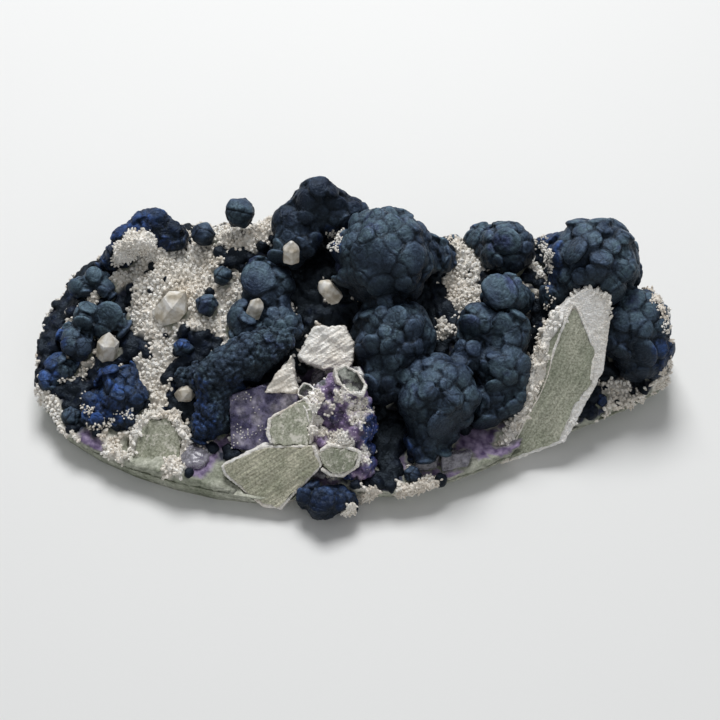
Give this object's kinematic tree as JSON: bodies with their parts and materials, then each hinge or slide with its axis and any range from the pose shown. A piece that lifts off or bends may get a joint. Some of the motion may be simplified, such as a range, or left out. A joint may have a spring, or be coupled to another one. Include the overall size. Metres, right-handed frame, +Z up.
{
  "type": "fluorite on quartz mineral specimen",
  "caption": "Free-standing mineral specimen: dark blue grape-like fluorite and clear crystals on a quartz-crusted slab of sawn rock with a flat underside to rest on.",
  "frame": {"origin": "middle of the slab's sawn underside", "axes": "+X along the specimen's length to the right, +Y to the back, +Z up from the surface it stands on"},
  "size_m": [0.2109, 0.1101, 0.0627],
  "materials": {
    "matrix": "sawn grey-green rock, matt",
    "quartz_druse": "fine white sparkling druse",
    "quartz_rim": "milky white quartz, slightly glossy",
    "clear_quartz": "frosted clear quartz with flat faces",
    "sawn_rock": "sawn grey-green core, matt and grainy",
    "purple_fluorite": "translucent purple fluorite, sugary in places",
    "blue_fluorite": "near-black navy grape-like fluorite with a bluish satin sheen"
  },
  "bodies": {
    "root": {"front_sawn_core": "sawn_rock", "front_sawn_rim": "quartz_rim", "upper_sawn_core": "sawn_rock", "upper_sawn_rim": "quartz_rim", "small_sawn_core": "sawn_rock", "small_sawn_rim": "quartz_rim", "ringed_core": "sawn_rock", "ringed_rim": "quartz_druse", "blade_core": "sawn_rock", "blade_rim": "quartz_druse", "matrix_slab": "matrix", "quartz_crust": "quartz_druse", "quartz_fan": "clear_quartz", "quartz_wedge": "clear_quartz", "quartz_crystal_1": "clear_quartz", "quartz_crystal_2": "clear_quartz", "quartz_crystal_3": "clear_quartz", "quartz_crystal_4": "clear_quartz", "quartz_crystal_5": "clear_quartz", "quartz_crystal_6": "clear_quartz", "quartz_crystal_7": "clear_quartz", "purple_block": "purple_fluorite", "glassy_slab_1": "purple_fluorite", "glassy_slab_2": "purple_fluorite", "purple_ridge": "purple_fluorite", "fluorite_centre": "blue_fluorite", "fluorite_mid_left": "blue_fluorite", "fluorite_loaf": "blue_fluorite", "fluorite_dome": "blue_fluorite", "fluorite_back_right": "blue_fluorite", "fluorite_right_ball": "blue_fluorite", "fluorite_back_left": "blue_fluorite", "fluorite_left_upper": "blue_fluorite", "fluorite_left_middle": "blue_fluorite", "fluorite_left_rim": "blue_fluorite", "fluorite_lower_left": "blue_fluorite", "fluorite_low_right": "blue_fluorite", "fluorite_bottom": "blue_fluorite", "fluorite_ball_1": "blue_fluorite", "fluorite_ball_2": "blue_fluorite", "fluorite_ball_3": "blue_fluorite", "fluorite_ball_4": "blue_fluorite", "fluorite_ball_5": "blue_fluorite", "fluorite_ball_6": "blue_fluorite", "fluorite_ball_7": "blue_fluorite", "fluorite_ball_8": "blue_fluorite", "fluorite_ball_9": "blue_fluorite", "fluorite_ball_10": "blue_fluorite"}
  },
  "joints": []
}
